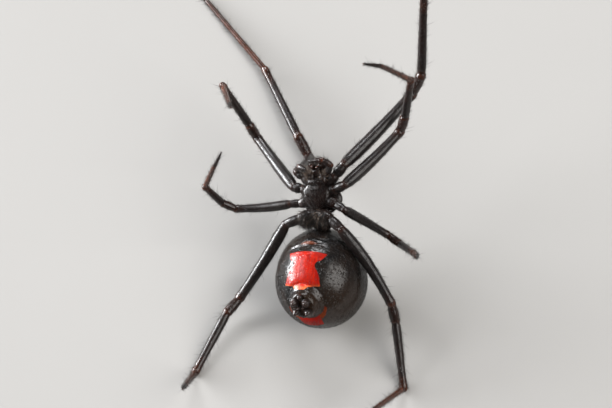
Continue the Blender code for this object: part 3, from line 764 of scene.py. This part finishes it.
def make_hairs(name, hairs, material):
    """One mesh of many fine bristles, each a closed three-sided spike bent towards the limb's end.

    hairs holds rows of root (3), direction (3), bend (3), length, radius, u and v.
    """
    rows = np.asarray(hairs)
    root, direction, bend = rows[:, 0:3], rows[:, 3:6], rows[:, 6:9]
    length, radius = rows[:, 9:10], rows[:, 10:11]
    direction = direction / np.linalg.norm(direction, axis=1, keepdims=True)
    helper = np.where(np.abs(direction[:, 2:3]) < 0.9, (0.0, 0.0, 1.0), (1.0, 0.0, 0.0))
    first = np.cross(direction, helper)
    first /= np.linalg.norm(first, axis=1, keepdims=True)
    second = np.cross(direction, first)
    middle = root + direction * length * 0.5 + bend * length * 0.06
    tip = root + direction * length + bend * length * 0.25
    corners = []
    for centre, size in ((root, 1.0), (middle, 0.72)):
        for turn in (0, 2 * math.pi / 3, 4 * math.pi / 3):
            corners.append(centre + (first * math.cos(turn) + second * math.sin(turn)) * radius * size)
    vertices = np.stack(corners + [tip], 1).reshape(-1, 3)
    vertices[:, 2] = np.maximum(vertices[:, 2], FLOOR_CLEARANCE)
    pattern = np.array([
        (0, 2, 1), (0, 1, 4), (0, 4, 3), (1, 2, 5), (1, 5, 4), (2, 0, 3), (2, 3, 5),
        (3, 4, 6), (4, 5, 6), (5, 3, 6),
    ])
    count = len(rows)
    triangles = (np.arange(count)[:, None, None] * 7 + pattern[None]).reshape(-1)
    mesh = bpy.data.meshes.new(name)
    mesh.vertices.add(count * 7)
    mesh.vertices.foreach_set("co", (vertices * MM).astype(np.float32).ravel())
    mesh.loops.add(len(triangles))
    mesh.loops.foreach_set("vertex_index", triangles.astype(np.int32))
    mesh.polygons.add(count * 10)
    mesh.polygons.foreach_set("loop_start", np.arange(0, len(triangles), 3, dtype=np.int32))
    mesh.update(calc_edges=True)
    patch = np.array([(0, 0), (1, 0), (0.5, 0.15), (0, 0.5), (1, 0.5), (0.5, 0.6), (0.5, 1.0)]) * UV_PATCH
    places = rows[:, 11:13][:, None, :] + patch[None]
    layer = mesh.uv_layers.new(name="OFBake")
    layer.uv.foreach_set("vector", places.reshape(-1, 2)[triangles].astype(np.float32).ravel())
    mesh.shade_smooth()
    mesh.materials.append(material)
    thing = bpy.data.objects.new(name, mesh)
    bpy.context.scene.collection.objects.link(thing)
    return thing


def limb_hairs(chance, segments, coats, band, band_width):
    """Bristles on a limb's segments, lying towards its tip; their map place is (band, length along)."""
    total = sum(segment[2] for segment in segments)
    travelled = 0.0
    rows = []
    for start, way, length, radius, part, bow in segments:
        density, hair_length, hair_radius, lift = coats[part]
        count = int(density * 2 * math.pi * radius * 0.9 * length)
        across = way.orthogonal().normalized()
        beside = way.cross(across)
        shares = (np.arange(count) + chance.random(count)) / count
        turns = chance.random(count) * 2 * math.pi
        sizes = chance.normal(1.0, 0.16, count).clip(0.6, 1.5)
        lifts = np.radians(lift + chance.normal(0, 7, count))
        long = chance.random(count) < LONG_BRISTLE_SHARE
        sways = chance.normal(0, 0.12, count)
        for share, turn, size, raised, is_long, sway in zip(shares, turns, sizes, lifts, long, sways):
            local = 0.015 + 0.97 * share
            out = across * math.cos(turn) + beside * math.sin(turn)
            around = beside * math.cos(turn) - across * math.sin(turn)
            tangent = (way * length + bow * math.pi * math.cos(math.pi * local)).normalized()
            centre = start + way * length * local + bow * math.sin(math.pi * local)
            root = centre + out * (radius * eased(local, SEGMENT_SHAPES[part]) - SETA_SINK)
            if root.z < SETA_SINK:
                continue
            if is_long:
                raised += math.radians(LONG_BRISTLE_LIFT)
                size *= LONG_BRISTLE_GROWTH
            direction = tangent * math.cos(raised) + out * math.sin(raised) + around * sway
            tip_height = root.z + direction.z * hair_length * size * 1.2
            if tip_height < FLOOR_CLEARANCE:
                direction.z += (FLOOR_CLEARANCE - tip_height) / (hair_length * size * 1.2)
            u = band + band_width * 0.94 * turn / (2 * math.pi)
            v = 0.985 * (travelled + length * local) / total
            rows.append((*root, *direction, *tangent, hair_length * size, hair_radius * size ** 0.4, u, v))
        travelled += length
    return rows


def round_hairs(chance, centre, point_at, lie, count, hair, keep, atlas):
    """Bristles on a round form in the body frame; point_at gives the skin in each direction."""
    hair_length, hair_radius, lift = hair
    left, low, wide, high = atlas
    index = np.arange(count) + 0.5
    polar = np.arccos(1 - 2 * index / count)
    around = math.pi * (1 + math.sqrt(5)) * index
    jitter = chance.normal(0, 0.5 * math.sqrt(4 * math.pi / count), (count, 3))
    directions = np.stack([np.cos(around) * np.sin(polar), np.cos(polar), np.sin(around) * np.sin(polar)], -1)
    directions += jitter
    directions /= np.linalg.norm(directions, axis=1, keepdims=True)
    points = point_at(directions)
    turn = BODY.to_3x3()
    rows = []
    for direction, point in zip(directions, points):
        if not keep(direction, point):
            continue
        normal = Vector(direction)
        flow = Vector(lie(direction))
        flow = (flow - flow.dot(normal) * normal).normalized()
        raised = math.radians(lift + chance.normal(0, 9))
        size = float(np.clip(chance.normal(1, 0.18), 0.55, 1.6))
        sway = normal.cross(flow) * chance.normal(0, 0.18)
        way = flow * math.cos(raised) + normal * math.sin(raised) + sway
        root = BODY @ (Vector(point) + Vector(centre) - normal * SETA_SINK)
        way = turn @ way
        bend = turn @ flow
        tip_height = root.z + way.z * hair_length * size * 1.2
        if root.z < SETA_SINK * 3 or tip_height < FLOOR_CLEARANCE:
            continue
        u = left + wide * (0.02 + 0.94 * (math.atan2(direction[2], direction[0]) / (2 * math.pi) + 0.5))
        v = low + high * (0.02 + 0.94 * math.acos(max(-1, min(1, direction[1]))) / math.pi)
        rows.append((*root, *way, *bend, hair_length * size, hair_radius, u, v))
    return rows


class Graph:
    """Short ways to add shader nodes to a material."""

    def __init__(self, name):
        self.material = bpy.data.materials.new(name)
        self.material.use_nodes = True
        self.tree = self.material.node_tree
        self.shader = self.tree.nodes["Principled BSDF"]

    def put(self, kind, inputs, output=0, **settings):
        """Adds a node with its settings and inputs and gives one of its outputs."""
        node = self.tree.nodes.new(kind)
        for key, value in settings.items():
            setattr(node, key, value)
        for key, value in inputs.items():
            if isinstance(value, bpy.types.NodeSocket):
                self.tree.links.new(value, node.inputs[key])
            else:
                node.inputs[key].default_value = value
        return node.outputs[output]

    def math(self, operation, first, second=0.0, clamp=False):
        return self.put("ShaderNodeMath", {0: first, 1: second}, operation=operation, use_clamp=clamp)

    def band(self, value, low, high, to_low=0.0, to_high=1.0):
        """A smooth step of a value."""
        inputs = {"Value": value, "From Min": low, "From Max": high, "To Min": to_low, "To Max": to_high}
        return self.put("ShaderNodeMapRange", inputs, interpolation_type="SMOOTHSTEP")

    def noise(self, place, scale, detail=3.0, roughness=0.55, distortion=0.0):
        inputs = {"Vector": place, "Scale": scale, "Detail": detail, "Roughness": roughness,
                  "Distortion": distortion}
        return self.put("ShaderNodeTexNoise", inputs)

    def mix(self, share, first, second):
        """A mix of two colours."""
        inputs = {0: share, 6: first, 7: second}
        return self.put("ShaderNodeMix", inputs, output=2, data_type="RGBA")

    def place(self):
        """The place on the object in millimetres."""
        here = self.put("ShaderNodeTexCoord", {}, output="Object")
        return self.put("ShaderNodeVectorMath", {0: here, "Scale": 1 / MM}, operation="SCALE")

    def bump(self, height, distance, strength=1.0, normal=None):
        inputs = {"Height": height, "Distance": distance * MM, "Strength": strength}
        if normal is not None:
            inputs["Normal"] = normal
        return self.put("ShaderNodeBump", inputs)

    def set(self, **values):
        """Sets or links the surface shader's inputs."""
        for key, value in values.items():
            socket = self.shader.inputs[key.replace("_", " ")]
            if isinstance(value, bpy.types.NodeSocket):
                self.tree.links.new(value, socket)
            else:
                socket.default_value = value


def cuticle_base(graph, here, colour, gloss, sockets, relief_share=1.0, polish=None):
    """Common parts of the black skin: fine pores, bristle sockets and soft unevenness."""
    broad = graph.noise(here, 1.6, 4.0)
    fine = graph.noise(here, 26.0, 3.0, 0.6)
    scale, deepest, gone, depth = sockets
    socket = graph.put("ShaderNodeTexVoronoi", {"Vector": here, "Scale": scale, "Randomness": 0.9})
    socket = graph.band(socket, deepest, gone)
    rough = graph.put("ShaderNodeMapRange", {"Value": fine, "From Min": 0.3, "From Max": 0.7,
                                             "To Min": gloss - 0.05, "To Max": gloss + 0.09})
    if polish is not None:
        rough = graph.math("SUBTRACT", rough, polish)
    skin = graph.bump(fine, 0.004, 0.7)
    skin = graph.bump(broad, 0.02, 0.35, skin)
    skin = graph.bump(socket, depth, relief_share, skin)
    coat, coat_roughness = SKIN_COAT
    graph.set(Base_Color=colour, Roughness=rough, Normal=skin, Specular_IOR_Level=SKIN_SPECULAR,
              Coat_Weight=coat, Coat_Roughness=coat_roughness)
    return broad


def make_cuticle(name, roughness, coat=SKIN_COAT[0], specular=SKIN_SPECULAR, glint_streaks=0.0):
    """The black skin of legs and front body, browner where its tint says so, with painted grey glints off the bristles
    streaked over it when asked for.
    """
    graph = Graph(name)
    here = graph.place()
    tint = graph.put("ShaderNodeAttribute", {}, output=2, attribute_name="tint")
    cloud = graph.noise(here, 2.3, 4.0)
    share = graph.math("MULTIPLY", tint, graph.band(cloud, 0.25, 0.75, 0.45, 1.25), clamp=True)
    black = graph.mix(cloud, BLACK_COOL, BLACK_WARM)
    colour = graph.mix(share, black, JOINT_BROWN)
    # Painted highlight: grey streaks along the body that stand in for light glinting off the bristles
    if glint_streaks:
        along = graph.put("ShaderNodeVectorMath", {0: body_place(graph, here), 1: (13.0, 1.6, 5.0)},
                          operation="MULTIPLY")
        streak = graph.band(graph.noise(along, 1.0, 3.0, 0.6), 0.5, 0.68, 0.0, glint_streaks)
        colour = graph.mix(streak, colour, GLINT_STREAK_GREY)
    polish = graph.band(tint, 0.05, 0.3, 0.0, JOINT_POLISH)
    cuticle_base(graph, here, colour, roughness, LIMB_SOCKETS, polish=polish)
    graph.set(Coat_Weight=coat, Specular_IOR_Level=specular)
    return graph.material


def body_place(graph, here):
    """The place in the body frame, from the abdomen's centre, in millimetres."""
    centre = BODY @ ABDOMEN_CENTRE
    from_centre = graph.put("ShaderNodeVectorMath", {0: here, 1: tuple(centre)}, operation="SUBTRACT")
    upright = graph.put("ShaderNodeVectorRotate", {"Vector": from_centre, "Angle": -LEAN},
                        rotation_type="X_AXIS")
    return graph.put("ShaderNodeVectorRotate", {"Vector": upright, "Angle": -BODY_ROLL},
                     rotation_type="Y_AXIS")


def red_marks(graph, body):
    """Masks of the hourglass and of the crescent behind the spinnerets, with slightly ragged edges."""
    split = graph.tree.nodes.new("ShaderNodeSeparateXYZ")
    graph.tree.links.new(body, split.inputs[0])
    x, y, z = split.outputs
    ragged = graph.math("SUBTRACT", graph.noise(body, 5.0, 4.0, 0.6), 0.5)
    angle = graph.math("ARCTAN2", y, z)
    span = HOURGLASS_FRONT - HOURGLASS_REAR
    share = graph.math("DIVIDE", graph.math("SUBTRACT", angle, HOURGLASS_REAR), span)
    curve = graph.tree.nodes.new("ShaderNodeFloatCurve")
    graph.tree.links.new(share, curve.inputs["Value"])
    widest = max(half for degrees, half in HOURGLASS_OUTLINE)
    points = curve.mapping.curves[0].points
    places = [((math.radians(degrees) - HOURGLASS_REAR) / span, half / widest)
              for degrees, half in HOURGLASS_OUTLINE]
    for index, place in enumerate(places):
        if index < 2:
            points[index].location = place
        else:
            points.new(*place)
    curve.mapping.update()
    half = graph.math("MULTIPLY", curve.outputs[0], widest)
    midline = graph.math("MULTIPLY_ADD", share, HOURGLASS_SLANT[1])
    midline.node.inputs[2].default_value = HOURGLASS_SLANT[0]
    inside = graph.math("SUBTRACT", half, graph.math("ABSOLUTE", graph.math("SUBTRACT", x, midline)))
    inside = graph.math("ADD", inside, graph.math("MULTIPLY", ragged, 0.16))
    edge = graph.band(inside, -0.02, 0.035)
    tongue = graph.math("ABSOLUTE", graph.math("SUBTRACT", x, TONGUE[0]))
    tongue = graph.band(tongue, TONGUE[1] * 0.4, TONGUE[1], TONGUE[2], 0.0)
    rear = graph.math("ADD", graph.math("MULTIPLY", share, span * ABDOMEN_HALF[2]), tongue)
    front = graph.math("MULTIPLY", graph.math("SUBTRACT", 1.0, share), span * ABDOMEN_HALF[2])
    ends = graph.math("ADD", graph.math("MINIMUM", rear, front), graph.math("MULTIPLY", ragged, 0.1))
    glass = graph.math("MULTIPLY", edge, graph.band(ends, -0.01, 0.035))
    axis = belly_axis(SPINNERET_ANGLE) * ABDOMEN_HALF[2]
    offset = graph.put("ShaderNodeVectorMath", {0: body, 1: tuple(axis)}, operation="SUBTRACT")
    away = graph.put("ShaderNodeVectorMath", {0: offset}, output=1, operation="LENGTH")
    rearward = (0.0, -axis[2] / ABDOMEN_HALF[2], axis[1] / ABDOMEN_HALF[2])
    behind = graph.put("ShaderNodeVectorMath", {0: offset, 1: rearward}, output=1, operation="DOT_PRODUCT")
    rearness = graph.math("DIVIDE", behind, away)
    ragged_away = graph.math("ADD", away, graph.math("MULTIPLY", ragged, 0.3))
    horn = graph.band(graph.math("ABSOLUTE", x), *CRESCENT_MIDDLE)
    width = graph.math("MULTIPLY", rearness, graph.band(horn, 0.0, 1.0, CRESCENT_WIDTH,
                                                        CRESCENT_WIDTH * CRESCENT_HORN))
    outer = graph.math("ADD", width, CRESCENT_INNER - 0.05)
    crescent = graph.math("MULTIPLY", graph.band(ragged_away, CRESCENT_INNER, CRESCENT_INNER + 0.06),
                          graph.band(graph.math("SUBTRACT", outer, ragged_away), 0.0, 0.08))
    crescent = graph.math("MULTIPLY", crescent, graph.band(rearness, *CRESCENT_ENDS))
    belly = graph.band(z, 0.2, 0.6)
    marks = graph.math("MULTIPLY", graph.math("MAXIMUM", glass, crescent), belly)
    dim = graph.math("MULTIPLY", crescent, horn)
    half, width = EPIGYNE_LIP
    lip = graph.math("DIVIDE", graph.math("SUBTRACT", angle, EPIGYNE_ANGLE - 0.06), width / ABDOMEN_HALF[2])
    lip = graph.put("ShaderNodeVectorMath", {0: graph.put("ShaderNodeCombineXYZ", {0: graph.math(
        "DIVIDE", x, half), 1: lip})}, output=1, operation="LENGTH")
    lip = graph.math("MULTIPLY", graph.band(lip, 0.7, 1.3, 1.0, 0.0), belly)
    return marks, graph.band(share, -0.02, 0.08, 1.0, 0.0), crescent, dim, lip, graph.band(away, 0.9, 1.15, 1.0, 0.0)


def make_abdomen_skin():
    """Black-brown gloss with the red hourglass, finely streaked along its length, and a painted brown reflection on
    the spider's left side behind the middle.
    """
    graph = Graph("abdomen_skin")
    here = graph.place()
    body = body_place(graph, here)
    marks, rearness, crescent, dim, lip, field = red_marks(graph, body)
    cloud = graph.noise(here, 0.9, 5.0, 0.6)
    speckle = graph.noise(here, 14.0, 3.0, 0.7)
    mottle_and_reflection = graph.math("MULTIPLY", graph.band(cloud, 0.35, 0.7), graph.band(speckle, 0.3, 0.75, 0.35, 1.0))
    # Painted reflection: a brown tone on the spider's left side behind the middle, laid over the brown mottling
    brown_reflection, reach = BROWN_REFLECTION_SIDE
    brown_reflection = graph.put("ShaderNodeVectorMath", {0: body, 1: brown_reflection}, output=1, operation="DOT_PRODUCT")
    mottle_and_reflection = graph.math("MAXIMUM", mottle_and_reflection, graph.band(brown_reflection, *reach))
    black = graph.mix(mottle_and_reflection, BLACK_COOL, BELLY_BROWN_AND_REFLECTION)
    streaked = graph.put("ShaderNodeVectorMath", {0: body, 1: (7.0, 0.7, 1.5)}, operation="MULTIPLY")
    streak = graph.band(graph.noise(streaked, 1.0, 4.0, 0.65), 0.3, 0.72)
    red = graph.mix(streak, HOURGLASS_DEEP, HOURGLASS_RED)
    patchy = graph.math("MULTIPLY", rearness, graph.band(graph.noise(body, 2.2, 2.0), 0.4, 0.58))
    red = graph.mix(patchy, red, HOURGLASS_ORANGE)
    red = graph.mix(crescent, red, CRESCENT_RED)
    red = graph.mix(dim, red, CRESCENT_DIM)
    black = graph.mix(lip, black, EPIGYNE_BROWN)
    colour = graph.mix(marks, black, red)
    cuticle_base(graph, here, colour, ABDOMEN_ROUGHNESS, ABDOMEN_SOCKETS, graph.band(marks, 0.0, 1.0, 1.0, 0.3))
    matt = graph.math("MAXIMUM", graph.math("MAXIMUM", crescent, field),
                      graph.math("MULTIPLY", marks, MARK_DULLNESS))
    graph.set(Specular_IOR_Level=graph.band(matt, 0.0, 1.0, SKIN_SPECULAR, MATT_SPECULAR),
              Coat_Weight=graph.band(matt, 0.0, 1.0, SKIN_COAT[0], 0.0))
    return graph.material


def make_plain_material(name, dark, light, scale, roughness, coat=0.0, specular=0.5):
    """A clouded two-tone material for small hard parts and bristles."""
    graph = Graph(name)
    here = graph.place()
    cloud = graph.noise(here, scale, 3.0)
    colour = graph.mix(graph.band(cloud, 0.35, 0.65), dark, light)
    graph.set(Base_Color=colour, Roughness=roughness, Coat_Weight=coat, Specular_IOR_Level=specular,
              Normal=graph.bump(cloud, 0.002, 0.5))
    return graph.material


def make_floor():
    """A wide pale floor."""
    mesh = bpy.data.meshes.new("floor")
    half = FLOOR_HALF
    mesh.from_pydata([(-half, -half, 0), (half, -half, 0), (half, half, 0), (-half, half, 0)], [],
                     [(0, 1, 2, 3)])
    floor = bpy.data.objects.new("floor", mesh)
    bpy.context.scene.collection.objects.link(floor)
    graph = Graph("floor_paper")
    here = graph.put("ShaderNodeTexCoord", {}, output="Object")
    tone = graph.mix(graph.noise(here, 30.0, 4.0), FLOOR_TONES[0], FLOOR_TONES[1])
    graph.set(Base_Color=tone, Roughness=0.85, Specular_IOR_Level=0.2)
    mesh.materials.append(graph.material)
    return floor


def make_lights():
    """Large soft lights placed by azimuth and elevation round the animal, and a dim room."""
    target = POSE @ Vector((0, 2.5, 0)) * MM
    for name, azimuth, elevation, distance, width, height, power, colour in LIGHTS:
        around, up = math.radians(azimuth), math.radians(elevation)
        way = Vector((math.sin(around) * math.cos(up), math.cos(around) * math.cos(up), math.sin(up)))
        data = bpy.data.lights.new(name, "AREA")
        data.shape = "RECTANGLE"
        data.size, data.size_y = width, height
        data.energy = power
        data.color = colour
        lamp = bpy.data.objects.new(name, data)
        lamp.location = target + way * distance
        lamp.rotation_mode = "QUATERNION"
        lamp.rotation_quaternion = way.to_track_quat("Z", "Y")
        bpy.context.scene.collection.objects.link(lamp)
    world = bpy.data.worlds.new("room")
    world.use_nodes = True
    world.node_tree.nodes["Background"].inputs["Color"].default_value = ROOM_COLOUR
    world.node_tree.nodes["Background"].inputs["Strength"].default_value = ROOM_STRENGTH
    bpy.context.scene.world = world


def make_camera():
    """The photograph's view: straight onto the pose frame's plane, from above the floor."""
    data = bpy.data.cameras.new("camera")
    data.sensor_width = SENSOR_MM
    data.lens = SENSOR_MM * CAMERA_DISTANCE / (IMAGE_WIDTH / PIXELS_PER_MM)
    data.clip_start = CAMERA_DISTANCE * MM / 20
    data.clip_end = CAMERA_DISTANCE * MM * 40
    camera = bpy.data.objects.new("camera", data)
    camera.location = (POSE @ (LOOK_AT + Vector((0, 0, CAMERA_DISTANCE)))) * MM
    camera.rotation_euler = (LEAN, 0, 0)
    bpy.context.scene.collection.objects.link(camera)
    bpy.context.scene.camera = camera


def make_fangs(material):
    """The two curved fangs."""
    turn = BODY.to_3x3()
    surfaces = []
    for flip in (lambda point: point, mirrored):
        tip, end = flip(CHELICERA_TIP), flip(FANG_TIP)
        down = (flip(CHELICERA_TIP) - flip(CHELICERA_TOP)).normalized()
        count = 12
        rings = []
        for index in range(count + 1):
            share = index / count
            bend = down * 0.2 * math.sin(math.pi * share)
            centre = tip.lerp(end, share) + bend
            tangent = ((end - tip) + down * 0.2 * math.pi * math.cos(math.pi * share)).normalized()
            radius = FANG_RADIUS * (1 - 0.86 * share ** 1.3)
            rings.append((BODY @ centre, (turn @ tangent).normalized(), radius, 0.0))
        surfaces.append(tube(rings, 16))
    return fuse("fangs", surfaces, [material])


def make_claws(material):
    """Three small curved claws at the end of each leg."""
    surfaces = []
    for name in LEGS:
        start, way, length, radius, part, bow = leg_segments(name)[-1]
        end = start + way * (length + radius * 0.2)
        across = way.orthogonal().normalized()
        beside = way.cross(across)
        for spread, drop, size in CLAWS:
            rings = []
            for index in range(7):
                share = index / 6
                centre = end + (way * math.sin(share * 1.5) * 0.7 + across * (drop - (1 - math.cos(share * 1.5)) * 0.8)
                                + beside * spread * (0.4 + share)) * size
                tangent = (way * math.cos(share * 1.5) - across * math.sin(share * 1.5)).normalized()
                rings.append((centre, tangent, CLAW_RADIUS * (1 - 0.85 * share), 0.0))
            surfaces.append(tube(rings, 8))
    claws = fuse("claws", surfaces, [material])
    settle(claws)
    return claws


def make_eyes(material):
    """Eight small eyes in two rows on the front of the head."""
    surfaces = []
    for side in (-1, 1):
        for x, y, z, radius in EYES:
            size = Vector((radius,) * 3) * 0.95
            surfaces.append(ovoid(Vector((side * x, y, z)), size, 24, 16, 0.0))
    return fuse("eyes", surfaces, [material])


def make_skin():
    """The one skin over body and legs."""
    materials = [
        make_cuticle("limb_cuticle", LIMB_ROUGHNESS),
        make_abdomen_skin(),
        # The front body's skin; its last number is the strength of the painted bristle glints
        make_cuticle("front_cuticle", FRONT_ROUGHNESS, 0.0, 0.3, 0.15),
    ]
    surfaces = [make_abdomen()] + make_spinnerets() + make_front_body()
    for name in LEGS:
        surfaces += limb_surfaces(leg_segments(name), LEG_SIDES)
    for side in PEDIPALPS:
        surfaces += limb_surfaces(palp_segments(side), 20)
    skin = fuse("skin", surfaces, materials)
    settle(skin)
    skin.data.shade_smooth()
    skin.data.set_sharp_from_angle(angle=math.radians(50))
    return skin


def body_hairs(chance, coats):
    """Bristles on round forms of the front body."""
    rows = []
    for place, (centre, half, count, hair, flow, side) in enumerate(coats):
        shape = np.array(half)
        atlas = (place % 4 / 4, place // 4 / 4, 0.25, 0.25)
        rows += round_hairs(chance, Vector(centre), lambda ways: ways * shape, lambda way: flow, count, hair,
                            lambda way, point: way[2] * side > 0.1, atlas)
    return rows


def make_coats(material, pale):
    """Bristles on the legs, the abdomen and the front body, and the pale ones."""
    chance = np.random.default_rng(7)
    for side in ("left", "right"):
        rows = []
        for pair in (1, 2, 3, 4):
            segments = leg_segments(f"leg_{pair}_{side}")
            rows += limb_hairs(chance, segments, COATS, (pair - 1) / 4, 0.25)
        finish_piece(make_hairs("bristles_legs_" + side, rows, material), "bristles")

    def abdomen_point(directions):
        return directions * abdomen_reach(directions)[:, None]

    def bare(direction, point):
        return angle_to(direction, belly_axis(SPINNERET_ANGLE)) > math.radians(16)

    rows = round_hairs(chance, ABDOMEN_CENTRE, abdomen_point, lambda way: (0.0, -1.0, -0.15), ABDOMEN_BRISTLES,
                       ABDOMEN_HAIR, bare, (0, 0, 1, 1))
    finish_piece(make_hairs("bristles_abdomen", rows, material), "bristles")

    finish_piece(make_hairs("bristles_pale", body_hairs(chance, PALE_COATS), pale), "bristles")
    rows = body_hairs(chance, BODY_COATS)
    for index, name in enumerate(("left", "right")):
        rows += limb_hairs(chance, palp_segments(name), PALP_COATS, 0.8 + index * 0.1, 0.1)
    finish_piece(make_hairs("bristles_front_body", rows, material), "bristles")


def main():
    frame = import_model()
    skin = make_skin()
    finish_piece(skin, "abdomen_shell", *frame["nodes"])
    hard = make_plain_material("fang_brown", (0.03, 0.008, 0.004, 1), (0.09, 0.022, 0.01, 1), 6.0, 0.18, 0.4)
    finish_piece(make_fangs(hard), "brown_parts")
    finish_piece(make_claws(hard), "brown_parts")
    glass = make_plain_material("eye_gloss", (0.004, 0.004, 0.006, 1), (0.02, 0.018, 0.022, 1), 9.0, 0.05, 1.0)
    finish_piece(make_eyes(glass), "eyes")
    hair = make_plain_material("bristle", (0.006, 0.005, 0.0045, 1), (0.026, 0.018, 0.013, 1), 3.0, 0.32,
                               specular=0.3)
    pale = make_plain_material("mouth_tuft", (0.08, 0.05, 0.035, 1), (0.34, 0.25, 0.19, 1), 8.0, 0.5)
    make_coats(hair, pale)
    make_floor()
    make_lights()
    make_camera()
    bpy.context.scene.view_settings.view_transform = "Standard"


main()
